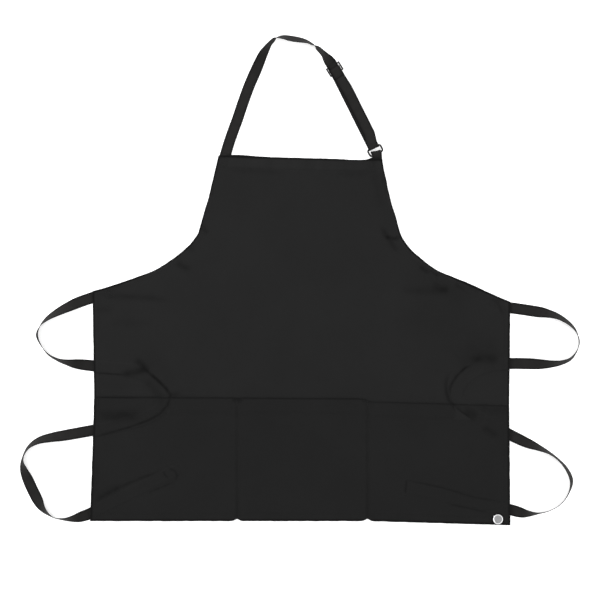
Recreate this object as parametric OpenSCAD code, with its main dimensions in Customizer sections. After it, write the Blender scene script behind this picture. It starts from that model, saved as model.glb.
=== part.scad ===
// Bib apron with a three-part pouch pocket, an adjustable neck strap and two waist ties,
// laid flat on its back. X runs across the skirt, Y up to the neck and Z out of the cloth's face.
// All sizes are in millimetres.

/* [Cloth] */
// Thickness of the twill cloth
cloth_t = 0.7; // [0.5:0.1:0.8]
// Width of the skirt at its bottom edge
skirt_w = 716; // [700:4:732]
// Width of the bib at its top edge
bib_w = 278; // [270:2:284]

/* [Hems] */
// Depth of the folded hem along the top of the bib
top_hem_w = 22; // [16:1:28]
// Depth of the narrow hem in each armhole
armhole_hem_w = 8; // [6:1:12]
// Depth of the hem down each side
side_hem_w = 11; // [8:1:14]
// Depth of the hem along the bottom
bottom_hem_w = 14; // [10:1:18]

/* [Pocket] */
// Depth of the hem along the mouth of the pocket
mouth_hem_w = 26; // [16:1:30]
// Distance from the middle of the skirt to the divider on the wearer's right
divider_a = 108; // [90:1:120]
// Distance from the middle of the skirt to the divider on the wearer's left
divider_b = 114; // [90:1:120]
// Gap between the two stitch rows of a divider
divider_gap = 5; // [4:1:8]

/* [Webbing] */
// Width of the webbing of the straps
web_w = 19; // [17:0.5:19]
// Thickness of the webbing
web_t = 1.0; // [0.8:0.1:1.0]

/* [Slider] */
// Width of the slider across the strap
slider_w = 26; // [26:0.2:27]
// Length of the slider along the strap
slider_len = 16; // [15:1:18]
// Width of the slider's rails and end bars
slider_bar = 2; // [1.6:0.1:2]
// Skew of the slider on the strap, in degrees
slider_skew = 5; // [0:1:5]

/* [Ring] */
// Width of the strap ring, outside
ring_w = 27; // [26:1:30]
// Height of the strap ring, outside
ring_h = 15; // [15:1:18]
// Diameter of the ring's wire
ring_wire = 3; // [2.4:0.2:3]

/* [Badge] */
// Diameter of the plain round badge
badge_d = 17; // [12:1:18]

/* [Thread] */
// Width of a row of stitches
thread_w = 0.8; // [0.5:0.1:1]
// Height of a row of stitches above the cloth
thread_h = 0.3; // [0.2:0.1:0.4]

/* [Hidden] */

CLOTH = [0.15, 0.15, 0.15];
FOLD = [0.19, 0.19, 0.19];
WEBBING = [0.2, 0.2, 0.21];
PLASTIC = [0.08, 0.08, 0.09];
THREAD = [0.11, 0.11, 0.11];
METAL = [0.82, 0.82, 0.84];

// Heights of the layers: the straps lie lowest, the cloth lies over them.
hem_z = 2.0;
panel_z = hem_z + cloth_t;
face_z = panel_z + cloth_t;
mouth_hem_t = 0.5;
pocket_z = face_z + mouth_hem_t;
pocket_top = pocket_z + cloth_t;

// Outline of the cloth, anticlockwise from the bib's top corner on the left
bib_left = [-bib_w / 2, 212];
bib_right = [bib_w / 2 - 1, 206];
knee_left = [-174, 80];
knee_right = [170, 79];
waist_left = [-354, -19];
waist_right = [357, -37];
mouth_left = [-351, -199];
mouth_right = [355, -214];
corner_left = [-skirt_w / 2, -410];
corner_right = [skirt_w / 2 - 1, -417];
divider_b_foot = [divider_b, -410];
left_armhole = concat([bib_left], bezier([knee_left, [-200, 36], [-262, 6], waist_left], 14));
right_armhole = concat(bezier([waist_right, [250, 8], [188, 34], knee_right], 14), [bib_right]);
left_side = [waist_left, mouth_left, corner_left];
right_side = [corner_right, mouth_right, waist_right];
bottom_edge = [corner_left, divider_b_foot, corner_right];
outline = concat(left_armhole, [mouth_left, corner_left, divider_b_foot, corner_right, mouth_right],
    right_armhole);
mouth_edge = [mouth_right, [divider_b + 2, -207], [divider_b - 4, -202], mouth_left];
top_edge = [bib_right, [90, 205.5], bib_left];

// The neck loop folds over about this line, just beyond the bib's top edge.
fold_left = [-127, 214.6];
fold_right = [130, 208.6];

// Straight stretch of the neck strap, from the ring's upper bar up to the slider
run_tilt = 26.6;
run_foot = [124.5, 226];
run_up = [-sin(run_tilt), cos(run_tilt)];
slider_at = 149;
run_z = 1.3;
slider_gap = 0.3;
loop_z = run_z + web_t + slider_gap;
centre_bar_r = 0.7;
centre_bar_z = loop_z + web_t + 0.1 + centre_bar_r;
loop_len = 16;
// The slider sits a little to one side of the strap.
slider_shift = 0.4;

// Height of the ring's wire, with a strap fold of web_t round it
wire_r = ring_wire / 2;
fold_r = wire_r + 0.15;
ring_z = run_z + web_t + fold_r;
ring_bar_gap = ring_h - ring_wire;

// Routes of the straps: x, y, roll in degrees and lift above the table.
// A strap with no roll lies flat, and at 90 it stands on its edge.
neck_route = [
    [-126.9, 217.4, 0, 0.6], [-121.6, 235, 0, 0.4], [-115, 254, 0, 0.1], [-108, 273, 0, 0],
    [-101, 294, 0, 0], [-94, 314, 0, 0], [-86, 335, 0, 0], [-77, 355, 12, 0],
    [-68, 375, 32, 0], [-63.6, 384, 42, 0], [-58, 393, 56, 0], [-52, 401.6, 72, 0],
    [-45, 408.6, 88, 0], [-38, 412, 104, 0], [-29, 412.8, 120, 0], [-19, 411.2, 128, 0],
    [-6, 409, 128, 0], [6, 406.6, 121, 0], [14, 403.8, 110, 0], [22, 399.2, 98, 0],
    [29, 394, 86, 0], [35, 388.6, 68, 0], [41, 382.4, 50, 0], [47, 375.4, 24, 0.8],
    [53, 367.6, 0, 1.3]
];
left_tie_route = [
    [-347, -27, 0, 0], [-376, -37, 0, 0], [-394, -45, 24, 0], [-412, -54, 44, 0],
    [-430, -65, 64, 0], [-442, -77, 80, 0], [-447.6, -92, 88, 0], [-443, -107, 84, 0],
    [-430, -125, 77, 0], [-412, -135.6, 70, 0], [-396, -140, 54, 0], [-380, -142.8, 26, 0],
    [-358, -145.4, 0, 0], [-318, -149, 0, 0], [-284, -154, 0, 0], [-256, -168, 0, 0],
    [-238, -192, 0, 0], [-241, -216, 0, 0], [-268, -235, 0, 0], [-318, -249, 0, 0],
    [-358, -256.6, 0, 0], [-400, -264, 18, 0], [-424, -267.6, 38, 0], [-446, -273, 56, 0],
    [-463, -284.6, 72, 0], [-472, -303, 74, 0], [-470.4, -322, 38, 0], [-464, -341, 6, 0],
    [-457, -357, 0, 0], [-448, -374, 10, 0], [-436, -391, 52, 0], [-420, -403, 77, 0],
    [-402, -406.4, 70, 0], [-386, -405.4, 46, 0], [-371, -402, 12, 0], [-356, -396.4, 0, 0],
    [-318, -377, 0, 0], [-284, -360, 0, 0], [-250, -343, 0, 0], [-220, -328, 0, 0]
];
right_tie_route = [
    [350, -46, 0, 0], [376, -49.6, 0, 0], [401, -53.4, -6, 0], [420, -56.6, -38, 0],
    [438, -62, -56, 0], [455, -72.4, -66, 0], [467, -85, -74, 0], [473, -101, -82, 0],
    [471, -117, -78, 0], [460, -133, -70, 0], [444, -140.2, -62, 0], [427, -142.6, -48, 0],
    [410, -143, -28, 0], [390, -142.4, -4, 0], [364, -142, 0, 0], [338, -143, 0, 0],
    [312, -148, 0, 0], [285, -163, 0, 0], [267, -188, 0, 0], [276, -212, 0, 0],
    [308, -236, 0, 0], [338, -253.6, 0, 0], [363, -266.4, -3, 0], [384, -276.4, -26, 0],
    [403, -284, -56, 0], [422, -293, -76, 0], [438, -305, -79, 0], [452, -321, -70, 0],
    [460.4, -341, -64, 0], [456, -361, -73, 0], [443, -380, -76, 0], [424, -391.4, -78, 0],
    [404, -396.4, -74, 0], [387, -397, -48, 0], [372, -395, -12, 0], [358, -391.4, 0, 0],
    [300, -378, 0, 0], [260, -370, 0, 0], [222, -361.6, 0, 0], [188, -354, 0, 0]
];
tie_end_len = 10;
tie_end_t = 0.6;

// Middle and width of the ring's tab, and the place of the badge
tab_x = 130.5;
tab_w = 17;
badge_at = [336, -407];

// Places and turns of the box stitches over the sewn ends of the straps
box_size = 14;
root_marks = [[[-132, 200], 73], [[tab_x, 195], 90], [[-325, -22], 14], [[328, -39.5], -18]];

// Points on a cubic curve through p[0] and p[3]
function bezier(p, n) = [
    for (i = [0:n]) let (t = i / n, s = 1 - t)
        s * s * s * p[0] + 3 * s * s * t * p[1] + 3 * s * t * t * p[2] + t * t * t * p[3]
];

function reversed(path) = [for (i = [len(path) - 1:-1:0]) path[i]];

// A point on the smooth curve through b and c, whose neighbours are a and d
function curve_point(a, b, c, d, t) =
    0.5 * (2 * b + (c - a) * t + (2 * a - 5 * b + 4 * c - d) * t * t
        + (3 * b - a - 3 * c + d) * t * t * t);

function smooth(route, n) = concat(
    [
        for (i = [0:len(route) - 2], j = [0:n - 1])
            curve_point(route[max(i - 1, 0)], route[i], route[i + 1],
                route[min(i + 2, len(route) - 1)], j / n)
    ],
    [route[len(route) - 1]]
);

// Direction of a path at its point i, in the plane of the table
function heading(path, i) =
    let (a = path[max(i - 1, 0)], b = path[min(i + 1, len(path) - 1)], v = [b[0] - a[0], b[1] - a[1]])
        v / norm(v);

function left_of(v) = [-v[1], v[0]];

// The path moved d to its left
function beside(path, d) = [
    for (i = [0:len(path) - 1]) [path[i][0], path[i][1]] + d * left_of(heading(path, i))
];

// Four corners of a strap's section at point i of its route
function strap_section(route, i, w, t) =
    let (
        p = route[i], side = left_of(heading(route, i)),
        z = w / 2 * abs(sin(p[2])) + t / 2 * abs(cos(p[2])) + p[3],
        u = [side[0] * cos(p[2]), side[1] * cos(p[2]), sin(p[2])],
        v = [-side[0] * sin(p[2]), -side[1] * sin(p[2]), cos(p[2])]
    )
        [
            for (k = [[-1, -1], [1, -1], [1, 1], [-1, 1]])
                [p[0], p[1], z] + k[0] * w / 2 * u + k[1] * t / 2 * v
        ];

// A flat strap swept along its route
module strap(route, w = web_w, t = web_t) {
    n = len(route);
    points = [for (i = [0:n - 1]) each strap_section(route, i, w, t)];
    walls = [
        for (i = [0:n - 2], k = [0:3])
            let (m = (k + 1) % 4, a = i * 4 + k, b = i * 4 + m, c = a + 4, d = b + 4)
                each k < 2 ? [[a, c, d], [a, d, b]] : [[a, c, b], [c, d, b]]
    ];
    ends = [[0, 1, 2, 3], [for (k = [3:-1:0]) (n - 1) * 4 + k]];
    polyhedron(points, concat(walls, ends), convexity = 10);
}

// A band of the cloth's plane between two lines beside a path
module band(path, d0, d1) {
    polygon(concat(beside(path, d0), reversed(beside(path, d1))));
}

// A flat layer that starts at height z
module layer(z, t) {
    translate([0, 0, z]) linear_extrude(t) children();
}

// Moves children from the strap's own frame to the table: x across the strap, y up the straight run
module on_run() {
    translate(concat(run_foot, 0)) rotate(run_tilt) children();
}

// Moves children from the slider's own frame to the table
module on_slider() {
    on_run() translate([0, slider_at, 0]) rotate(slider_skew) translate([slider_shift, 0, 0]) children();
}

// Extrudes a side view, drawn as distance along the strap and height, across the strap
module across(w) {
    translate([-w / 2, 0, 0]) rotate([90, 0, 90]) linear_extrude(w) children();
}

// Half of a strap fold round a bar, on the side that dir points to
module half_fold(r, dir) {
    outer = r + web_t;
    difference() {
        circle(outer, $fn = 48);
        circle(r, $fn = 48);
        translate([-dir * outer, 0]) square(2 * outer, center = true);
    }
}

module body_panel() {
    color(CLOTH) layer(panel_z, cloth_t) polygon(outline);
}

module top_band() {
    intersection() {
        polygon(outline);
        band(top_edge, 0, top_hem_w);
    }
}

module side_band(side) {
    intersection() {
        polygon(outline);
        band(side, 0, side_hem_w);
    }
}

module bottom_band() {
    intersection() {
        polygon(outline);
        band(bottom_edge, 0, bottom_hem_w);
    }
}

module top_hem() {
    color(FOLD) layer(hem_z, cloth_t) top_band();
}

module armhole_hem(armhole, side) {
    color(FOLD) layer(hem_z, cloth_t) difference() {
        intersection() {
            polygon(outline);
            band(armhole, 0, armhole_hem_w);
        }
        top_band();
        band(side, 0, side_hem_w);
    }
}

module side_hem(side) {
    color(FOLD) layer(hem_z, cloth_t) difference() {
        side_band(side);
        bottom_band();
    }
}

module bottom_hem() {
    color(FOLD) layer(hem_z, cloth_t) bottom_band();
}

module pocket_panel() {
    color(CLOTH) layer(pocket_z, cloth_t)
        polygon(concat(mouth_edge, [corner_left, divider_b_foot, corner_right]));
}

module pocket_mouth_hem() {
    color(FOLD) layer(face_z, mouth_hem_t) intersection() {
        polygon(outline);
        band(mouth_edge, 0, mouth_hem_w);
    }
}

// The sewn end of a strap, folded double behind the hem, from one point to another
module strap_root(from, to) {
    color(WEBBING) layer(0, hem_z) band([from, to], -web_w / 2, web_w / 2);
}

module neck_strap_root() {
    strap_root([-134.4, 191.8], [-127.1, 216.7]);
}

module ring_tab() {
    color(WEBBING) layer(0, hem_z)
        band([[tab_x, 188], [tab_x, 208.1]], -tab_w / 2, tab_w / 2);
}

// The free part of the ring's tab, folded round the ring's lower bar
module ring_tab_loop() {
    color(WEBBING) intersection() {
        on_run() translate([0, -ring_bar_gap, ring_z]) across(tab_w) {
            half_fold(fold_r, 1);
            for (z = [-fold_r - web_t, fold_r]) translate([-14, z]) square([14, web_t]);
        }
        linear_extrude(web_w) band([fold_left, fold_right], 0, web_w * 2);
    }
}

// The sewn end of a tie, with its upper layer running on over the start of the tie
module tie_root(from, to, lap) {
    strap_root(from, to);
    color(WEBBING) layer(web_t + 0.25, hem_z - web_t - 0.25) band([to, lap], -web_w / 2, web_w / 2);
}

module tie_root_left() {
    tie_root([-316, -19], [-336.4, -24.2], [-350, -27.7]);
}

module tie_root_right() {
    tie_root([317, -36], [339, -43], [352, -47.1]);
}

module badge_front() {
    post_r = 1.5;
    color(METAL) translate(concat(badge_at, 0)) {
        translate([0, 0, pocket_top]) cylinder(h = 0.8, r = badge_d / 2, $fn = 64);
        translate([0, 0, pocket_top]) difference() {
            cylinder(h = 1.4, r = badge_d / 2, $fn = 64);
            translate([0, 0, -1]) cylinder(h = 3, r = badge_d / 2 - 1.4, $fn = 64);
        }
        translate([0, 0, hem_z]) cylinder(h = pocket_top - hem_z, r = post_r, $fn = 32);
    }
}

module badge_back() {
    color(METAL) translate(concat(badge_at, hem_z - 0.8)) cylinder(h = 0.8, r = 5, $fn = 48);
}

// The squares round the box stitches, where other rows of stitches stop
module root_patches() {
    for (mark = root_marks) translate(mark[0]) rotate(mark[1]) square(box_size + 2, center = true);
}

// The strips round the dividers, where other rows of stitches stop
module divider_patches() {
    for (x = [-divider_a, divider_b])
        translate([x - divider_gap / 2 - 1, -420]) square([divider_gap + 2, 230]);
}

module side_patches() {
    band(left_side, 0, side_hem_w + 0.5);
    band(right_side, 0, side_hem_w + 0.5);
}

module top_hem_stitching() {
    color(THREAD) layer(face_z, thread_h) difference() {
        intersection() {
            for (d = [3, top_hem_w - 2]) band(top_edge, d - thread_w / 2, d + thread_w / 2);
            polygon(outline);
        }
        root_patches();
    }
}

module armhole_stitching() {
    d = armhole_hem_w - 1.5;
    color(THREAD) layer(face_z, thread_h) difference() {
        for (armhole = [left_armhole, right_armhole])
            band(armhole, d - thread_w / 2, d + thread_w / 2);
        root_patches();
        band(top_edge, -5, top_hem_w + 0.5);
    }
}

module side_rows(sides) {
    d = side_hem_w - 2;
    for (side = sides) band(side, d - thread_w / 2, d + thread_w / 2);
}

module side_stitching() {
    color(THREAD) {
        layer(face_z, thread_h) difference() {
            side_rows([[waist_left, mouth_left], [mouth_right, waist_right]]);
            band(left_armhole, -2, armhole_hem_w);
            band(right_armhole, -2, armhole_hem_w);
            band(mouth_edge, -1, mouth_hem_w);
            root_patches();
        }
        layer(pocket_top, thread_h) side_rows([[mouth_left, corner_left], [corner_right, mouth_right]]);
    }
}

module bottom_stitching() {
    d = bottom_hem_w - 2;
    color(THREAD) layer(pocket_top, thread_h) difference() {
        band(bottom_edge, d - thread_w / 2, d + thread_w / 2);
        side_patches();
        divider_patches();
        translate(badge_at) circle(badge_d / 2 + 1, $fn = 48);
    }
}

module pocket_mouth_stitching() {
    color(THREAD) layer(pocket_top, thread_h) difference() {
        for (d = [2.5, mouth_hem_w - 2]) band(mouth_edge, d - thread_w / 2, d + thread_w / 2);
        side_patches();
        divider_patches();
    }
}

module divider_stitching() {
    color(THREAD) layer(pocket_top, thread_h) for (x = [-divider_a, divider_b], s = [-0.5, 0.5])
        translate([x + s * divider_gap - thread_w / 2, -409]) square([thread_w, 200]);
}

// A short dense bar of thread, turned by angle
module bartack(at, angle, length) {
    width = 2.4;
    color(THREAD) translate(concat(at, 0)) rotate(angle)
        translate([-length / 2, -width / 2, 0]) cube([length, width, thread_h]);
}

module pocket_bartacks() {
    length = 9;
    ends = [mouth_left + [6, -8], [-divider_a, -208], [divider_b, -209], mouth_right + [-6, -8]];
    translate([0, 0, pocket_top]) for (at = ends) bartack(at, 90, length);
}

// A box of stitches with a cross in it, on the face of the cloth over a strap's root
module box_stitch(at, angle) {
    color(THREAD) translate(at) rotate(angle) linear_extrude(thread_h) {
        difference() {
            square(box_size, center = true);
            square(box_size - 2 * thread_w, center = true);
        }
        for (turn = [45, -45]) rotate(turn) square([box_size, thread_w], center = true);
    }
}

module root_stitching() {
    translate([0, 0, face_z]) for (mark = root_marks) box_stitch(mark[0], mark[1]);
}

neck_path = concat(
    smooth(neck_route, 2),
    [
        for (s = [slider_at - 6, slider_at - 40, slider_at - 80, 30, 0])
            concat(run_foot + s * run_up, [0, run_z])
    ]
);

module neck_strap() {
    color(WEBBING) strap(neck_path);
}

// The strap's way back from the ring to the slider, as distance up the run, offset and height
return_path = [
    for (p = [
        [0.2, 0, ring_z + fold_r], [8, 0, ring_z + fold_r], [16, -1.8, ring_z],
        [24, -3.8, loop_z + 0.4], [32, -4, loop_z], [70, -4, loop_z], [108, -4, loop_z],
        each [for (d = [loop_len + 12, loop_len + 0.3])
            [slider_at - d * cos(slider_skew), -d * sin(slider_skew) - slider_shift, loop_z]]
    ])
        concat(run_foot + p[0] * run_up + p[1] * left_of(run_up), [0, p[2]])
];

module neck_strap_return() {
    color(WEBBING) strap(return_path);
}

module neck_strap_ring_fold() {
    color(WEBBING) on_run() across(web_w) translate([0, ring_z]) half_fold(fold_r, -1);
}

// A bar of round wire from one point of the ring's plane to another
module wire(from, to) {
    v = to - from;
    translate(from) rotate(atan2(v[1], v[0])) rotate([0, 90, 0])
        cylinder(h = norm(v), r = wire_r, $fn = 32);
}

module ring() {
    corner_r = 3.5;
    half_w = (ring_w - ring_wire) / 2;
    half_h = ring_bar_gap / 2;
    color(PLASTIC) translate(concat(run_foot - half_h * run_up, ring_z)) rotate(run_tilt) {
        for (s = [-1, 1]) {
            wire([-half_w + corner_r, s * half_h], [half_w - corner_r, s * half_h]);
            wire([s * half_w, -half_h + corner_r], [s * half_w, half_h - corner_r]);
            for (q = [-1, 1]) translate([s * (half_w - corner_r), q * (half_h - corner_r), 0])
                rotate(s > 0 ? (q > 0 ? 0 : -90) : (q > 0 ? 90 : 180))
                    rotate_extrude(angle = 90, $fn = 48) translate([corner_r, 0])
                        circle(wire_r, $fn = 32);
        }
    }
}

module slider() {
    inner_w = slider_w - 2 * slider_bar;
    rail_h = centre_bar_z + centre_bar_r + 0.3;
    end_h = run_z - slider_gap;
    color(PLASTIC) on_slider() {
        for (s = [-1, 1]) {
            translate([s * (inner_w + slider_bar) / 2 - slider_bar / 2, -slider_len / 2, 0])
                cube([slider_bar, slider_len, rail_h]);
            translate([-slider_w / 2, s * (slider_len - slider_bar) / 2 - slider_bar / 2, 0])
                cube([slider_w, slider_bar, end_h]);
        }
        translate([-slider_w / 2 + 1, 0, centre_bar_z]) rotate([0, 90, 0])
            cylinder(h = slider_w - 2, r = centre_bar_r, $fn = 32);
    }
}

module slider_strap_loop() {
    bar_r = centre_bar_r + 0.1;
    top = centre_bar_z + bar_r;
    color(WEBBING) on_slider() across(web_w) {
        translate([-loop_len, loop_z]) square([loop_len, web_t]);
        translate([0, centre_bar_z]) half_fold(bar_r, 1);
        polygon([
            [0, top], [0, top + web_t], [-4, top + web_t], [-11, loop_z + 2 * web_t],
            [-loop_len, loop_z + 2 * web_t], [-loop_len, loop_z + web_t],
            [-10.6, loop_z + web_t], [-4, top]
        ]);
    }
}

module slider_stitching() {
    color(THREAD) on_slider() for (y = [1.4, 3.4])
        translate([-7, y - loop_len, loop_z + 2 * web_t]) cube([14, thread_w, thread_h]);
}

// The folded and sewn end of a tie
module tie_end(route) {
    last = len(route) - 1;
    tip = [route[last][0], route[last][1]];
    v = heading(route, last);
    side = web_w / 2 - 0.3;
    color(WEBBING) layer(web_t, tie_end_t) band([tip - tie_end_len * v, tip], -side, side);
}

module tie_left() {
    color(WEBBING) strap(smooth(left_tie_route, 2));
}

module tie_left_end() {
    tie_end(left_tie_route);
}

module tie_right() {
    color(WEBBING) strap(smooth(right_tie_route, 2));
}

module tie_right_end() {
    tie_end(right_tie_route);
}

body_panel();
top_hem();
armhole_hem(left_armhole, left_side);  // armhole_hem_left
armhole_hem(right_armhole, right_side);  // armhole_hem_right
side_hem(left_side);  // side_hem_left
side_hem(right_side);  // side_hem_right
bottom_hem();
pocket_panel();
pocket_mouth_hem();
neck_strap_root();
ring_tab();
tie_root_left();
tie_root_right();
badge_front();
badge_back();
top_hem_stitching();
armhole_stitching();
side_stitching();
bottom_stitching();
pocket_mouth_stitching();
divider_stitching();
pocket_bartacks();
root_stitching();
neck_strap();
neck_strap_return();
neck_strap_ring_fold();
ring();
ring_tab_loop();
slider();
slider_strap_loop();
slider_stitching();
tie_left();
tie_left_end();
tie_right();
tie_right_end();
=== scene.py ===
from collections import namedtuple
from math import cos, dist, hypot, pi, radians, sin

import bmesh
import bpy
import numpy as np
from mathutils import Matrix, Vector, noise
from mathutils.geometry import delaunay_2d_cdt


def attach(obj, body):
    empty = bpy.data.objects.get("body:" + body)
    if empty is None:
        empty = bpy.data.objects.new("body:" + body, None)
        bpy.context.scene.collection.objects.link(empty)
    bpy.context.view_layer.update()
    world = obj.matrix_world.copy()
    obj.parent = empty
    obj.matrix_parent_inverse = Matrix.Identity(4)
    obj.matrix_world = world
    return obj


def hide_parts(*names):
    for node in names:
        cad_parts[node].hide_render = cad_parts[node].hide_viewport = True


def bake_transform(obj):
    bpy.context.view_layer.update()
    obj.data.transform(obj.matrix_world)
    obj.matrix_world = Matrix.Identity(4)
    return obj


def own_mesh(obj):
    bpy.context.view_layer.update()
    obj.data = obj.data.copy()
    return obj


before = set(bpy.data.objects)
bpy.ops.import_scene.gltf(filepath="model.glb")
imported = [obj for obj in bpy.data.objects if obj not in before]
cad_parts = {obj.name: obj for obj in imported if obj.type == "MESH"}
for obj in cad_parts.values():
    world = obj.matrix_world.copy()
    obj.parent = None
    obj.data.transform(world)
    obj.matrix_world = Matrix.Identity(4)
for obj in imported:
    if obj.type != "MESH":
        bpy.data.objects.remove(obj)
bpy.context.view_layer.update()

MM = 0.001


def linked(name, data):
    """A new object with the data, in the scene"""
    obj = bpy.data.objects.new(name, data)
    bpy.context.scene.collection.objects.link(obj)
    return obj


# Camera straight above the cloth, framing it as the photograph does
cam_data = bpy.data.cameras.new("camera")
cam_data.lens = 85
cam_data.sensor_width = 36
cam = linked("camera", cam_data)
cam.location = (-0.0009, -0.0338, 2.4155)
bpy.context.scene.camera = cam


# ---------- materials ----------

WAVE_PERIOD = pi / 10  # of a wave texture at scale 1
# painted shade of the deepest creases sits at 0 of this scale
PLAIN_AT = 0.42  # the plain cloth's place between the deepest crease and the palest thread
PATTERN_LIFT = 0.22  # brings the mean of a weave's pattern near that place


def material(name, color, roughness, specular, metallic=0.0):
    """A Principled material, with its node tree and its shader"""
    mat = bpy.data.materials.new(name)
    mat.use_nodes = True
    shader = mat.node_tree.nodes["Principled BSDF"]
    values = {"Base Color": (*color, 1), "Roughness": roughness, "Specular IOR Level": specular,
              "Metallic": metallic}
    for key, value in values.items():
        shader.inputs[key].default_value = value
    return mat, mat.node_tree, shader


def node(tree, kind, **values):
    """A new node: a value named like one of its sockets is set there, and any other on the node"""
    n = tree.nodes.new(kind)
    for key, value in values.items():
        if key in n.inputs:
            n.inputs[key].default_value = value
        else:
            setattr(n, key, value)
    return n


def coords(tree, source, rotation=(0, 0, 0), scale=(1, 1, 1)):
    """Texture coordinates from source, turned and scaled"""
    tex = node(tree, "ShaderNodeTexCoord")
    mapping = node(tree, "ShaderNodeMapping", Rotation=rotation, Scale=scale)
    tree.links.new(tex.outputs[source], mapping.inputs["Vector"])
    return mapping.outputs["Vector"]


def wave(tree, vector, period, direction="X", distortion=0.0, detail_scale=1.0):
    """Parallel bands, one for each period in metres"""
    n = node(tree, "ShaderNodeTexWave", bands_direction=direction, Scale=WAVE_PERIOD / period,
             Distortion=distortion, **{"Detail Scale": detail_scale})
    tree.links.new(vector, n.inputs["Vector"])
    return n.outputs["Fac"]


def grain(tree, vector, scale, detail=3.0, roughness=0.6):
    n = node(tree, "ShaderNodeTexNoise", Scale=scale, Detail=detail, Roughness=roughness)
    tree.links.new(vector, n.inputs["Vector"])
    return n.outputs["Fac"]


def math_node(tree, operation, a, b):
    """An operation on two sockets or numbers"""
    n = node(tree, "ShaderNodeMath", operation=operation)
    for socket, value in zip(n.inputs, (a, b)):
        if isinstance(value, (int, float)):
            socket.default_value = value
        else:
            tree.links.new(value, socket)
    return n.outputs[0]


def add(tree, a, b):
    return math_node(tree, "ADD", a, b)


def scaled(tree, value, weight):
    return math_node(tree, "MULTIPLY", value, weight)


def tint(tree, shader, factor, dark, light):
    """Colour from dark to light over the middle half of the factor"""
    ramp = node(tree, "ShaderNodeValToRGB")
    for element, position, color in zip(ramp.color_ramp.elements, (0.25, 0.75), (dark, light)):
        element.position = position
        element.color = (*color, 1)
    tree.links.new(factor, ramp.inputs["Fac"])
    tree.links.new(ramp.outputs["Color"], shader.inputs["Base Color"])


def bump(tree, shader, height, strength, distance):
    n = node(tree, "ShaderNodeBump", Strength=strength, Distance=distance)
    tree.links.new(height, n.inputs["Height"])
    tree.links.new(n.outputs["Normal"], shader.inputs["Normal"])


def toned(tree, factor):
    """The factor with the painted light and shade at creases, edges and hems, from the mesh's tone
    attribute
    """
    tone = node(tree, "ShaderNodeAttribute", attribute_name="tone")
    return add(tree, factor, tone.outputs["Fac"])


def ramp3(tree, shader, factor, deep, dark, light):
    """Colour from the painted shade of the darkest creases at 0, over the plain cloth, to the
    palest threads at 1
    """
    n = node(tree, "ShaderNodeValToRGB")
    elements = n.color_ramp.elements
    elements[0].color = (*deep, 1)
    elements[1].color = (*light, 1)
    elements.new(PLAIN_AT).color = (*dark, 1)
    tree.links.new(factor, n.inputs["Fac"])
    tree.links.new(n.outputs["Color"], shader.inputs["Base Color"])


def twill(name, shade):
    """Black cotton twill: diagonal ridges, threads, fine fuzz and slightly uneven dye"""
    mat, tree, shader = material(name, (shade,) * 3, 0.9, 0.12)
    shader.inputs["Sheen Weight"].default_value = 0.03
    shader.inputs["Sheen Roughness"].default_value = 0.5
    plain = coords(tree, "Object")
    slant = coords(tree, "Object", (0, 0, radians(58)))
    ridges = wave(tree, slant, 0.0009, distortion=0.6, detail_scale=400)
    threads = wave(tree, plain, 0.0006, distortion=0.4, detail_scale=500)
    weave = add(tree, scaled(tree, threads, 0.4), ridges)
    fuzz = grain(tree, plain, 900, 2)
    dye = grain(tree, plain, 9, 3)
    mix = add(tree, scaled(tree, dye, 0.16), scaled(tree, fuzz, 0.26))
    mix = add(tree, add(tree, mix, scaled(tree, weave, 0.1)), PATTERN_LIFT)
    ramp3(tree, shader, toned(tree, mix), *((shade * k,) * 3 for k in (0.12, 0.8, 2)))
    bump(tree, shader, add(tree, weave, scaled(tree, fuzz, 0.7)), 0.45, 0.00018)
    return mat


def webbing(name, shade):
    """Black cotton webbing, a little warmer than the cloth: ribs across, cords along and a slant"""
    mat, tree, shader = material(name, (shade * 1.05, shade, shade * 0.97), 0.8, 0.1)
    shader.inputs["Sheen Weight"].default_value = 0.02
    plain = coords(tree, "UV")
    ribs = wave(tree, plain, 0.0013, "Y", 0.5, 500)
    cords = wave(tree, plain, 0.0009, "X", 0.2, 500)
    slant = wave(tree, coords(tree, "UV", (0, 0, radians(35))), 0.0011, "X", 0.4, 500)
    weave = add(tree, scaled(tree, ribs, 0.6), scaled(tree, cords, 0.5))
    weave = add(tree, weave, scaled(tree, slant, 0.6))
    mix = add(tree, scaled(tree, grain(tree, plain, 60, 4), 0.3), scaled(tree, weave, 0.15))
    mix = add(tree, mix, PATTERN_LIFT)
    ramp3(tree, shader, toned(tree, mix), (shade * 0.1,) * 3,
          (shade * 0.84, shade * 0.8, shade * 0.775), (shade * 2.1, shade * 2, shade * 1.94))
    bump(tree, shader, weave, 0.5, 0.00022)
    return mat


CLOTH = twill("twill", 0.0083)
# The pocket's cloth is darker than the body's: painted shade for the light falling off towards the
# bottom
POCKET = twill("twill_pocket", 0.0068)
HEM = twill("twill_hem", 0.0083)
WEB = webbing("webbing_weave", 0.0098)

THREAD, tree, shader = material("sewing_thread", (0.006, 0.006, 0.006), 0.6, 0.15)
strand = wave(tree, coords(tree, "Object", (0, 0, radians(45))), 0.0005)
tint(tree, shader, strand, (0.003, 0.003, 0.003), (0.008, 0.008, 0.008))
bump(tree, shader, strand, 0.4, 0.0001)

PLASTIC, tree, shader = material("moulded_plastic", (0.006, 0.006, 0.0064), 0.34, 0.06)
scuff = grain(tree, coords(tree, "Object"), 700, 4)
tint(tree, shader, scuff, (0.004, 0.004, 0.0043), (0.010, 0.010, 0.0106))
rough = node(tree, "ShaderNodeMapRange", **{"To Min": 0.2, "To Max": 0.42})
tree.links.new(scuff, rough.inputs["Value"])
tree.links.new(rough.outputs["Result"], shader.inputs["Roughness"])
bump(tree, shader, scuff, 0.15, 0.00008)


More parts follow.
